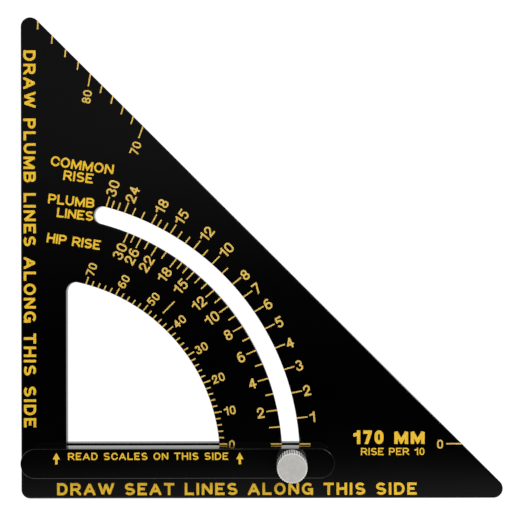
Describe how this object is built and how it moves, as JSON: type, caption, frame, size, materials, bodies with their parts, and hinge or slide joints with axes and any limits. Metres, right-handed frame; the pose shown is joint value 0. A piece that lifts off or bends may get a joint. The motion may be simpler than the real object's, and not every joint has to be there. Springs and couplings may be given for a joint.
{
  "type": "adjustable speed square",
  "caption": "Black right-triangle layout square with a window, printed degree and pitch scales, and a swinging arm clamped through an arc slot by a knurled thumb screw.",
  "frame": {"origin": "under the middle of the plate's square outline, at the level of the rear bar's back face, on which the tool lies", "axes": "+X runs along the seat edge away from the right-angle corner, +Y runs along the plumb edge away from it, and +Z points out of the face with the scales"},
  "size_m": [0.1714, 0.1714, 0.019],
  "materials": {
    "plate_paint": "gloss",
    "bar_paint": "gloss",
    "knob_nickel": "satin",
    "zinc_steel": "satin",
    "spring_steel": "satin",
    "sleeve_bronze": "satin",
    "nylon": "matte"
  },
  "bodies": {
    "plate": {"square_plate": "plate_paint"},
    "arm": {"front_bar": "bar_paint", "rear_bar": "bar_paint", "pivot_sleeve": "sleeve_bronze", "pivot_front_washer": "nylon", "pivot_rear_washer": "nylon", "pivot_spring_washer": "spring_steel", "pivot_screw": "zinc_steel", "clamp_front_washer": "nylon", "clamp_rear_washer": "nylon", "slot_guide": "nylon", "clamp_nut": "zinc_steel"},
    "lifting_washer": {"knob_washer": "zinc_steel"},
    "thumb_screw": {"thumb_stud": "zinc_steel", "thumb_knob": "knob_nickel"}
  },
  "joints": [
    {"name": "arm_swing", "type": "hinge", "parent": "plate", "child": "arm", "pos_m": [-0.07973, -0.07193, 0.00515], "axis": [0, 0, 1], "range_deg": [0, 75]},
    {"name": "thumb_screw_lift", "type": "slide", "parent": "arm", "child": "lifting_washer", "axis": [0, 0, 1], "range_m": [0, 0.0014]},
    {"name": "thumb_screw_turn", "type": "hinge", "parent": "lifting_washer", "child": "thumb_screw", "pos_m": [0.01038, -0.07193, 0.0124], "axis": [0, 0, 1], "range_deg": [0, 720]}
  ],
  "couplings": [
    {"joint": "thumb_screw_turn", "follows": "thumb_screw_lift", "rad_per_m": 8975.9}
  ]
}
